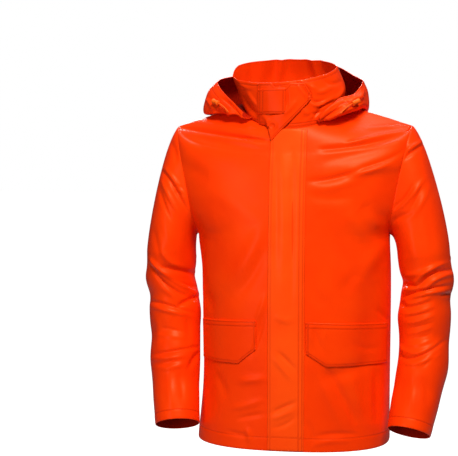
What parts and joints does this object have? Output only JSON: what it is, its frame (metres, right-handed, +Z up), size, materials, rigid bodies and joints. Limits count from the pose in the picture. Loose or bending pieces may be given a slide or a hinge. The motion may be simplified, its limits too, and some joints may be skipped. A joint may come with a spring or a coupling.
{
  "type": "hooded raincoat",
  "caption": "Hooded coated-cloth rain jacket, worn form with nobody in it: open hem, cuffs and neck, storm flap, pocket flaps, hood laid back.",
  "frame": {"origin": "the middle of the neck's base, level with the shoulder line, where the wearer's neck and shoulders hold the jacket", "axes": "+Z up, -Y is the front, +X is the wearer's left"},
  "size_m": [0.6587, 0.3169, 0.813],
  "materials": {
    "shell": "smooth coated cloth with a soft gloss",
    "lock": "moulded plastic, matt",
    "cord": "braided elastic cord"
  },
  "bodies": {
    "root": {"front_left": "shell", "front_right": "shell", "back": "shell", "sleeve_left": "shell", "sleeve_right": "shell", "collar": "shell", "hood_side_left": "shell", "hood_middle": "shell", "hood_side_right": "shell", "hood_tab": "shell", "storm_flap": "shell", "pocket_flap_left": "shell", "pocket_flap_right": "shell", "chin_guard": "shell", "throat_tab": "shell", "cord_lock_left": "lock", "cord_lock_right": "lock", "cord_left": "cord", "cord_right": "cord"}
  },
  "joints": []
}
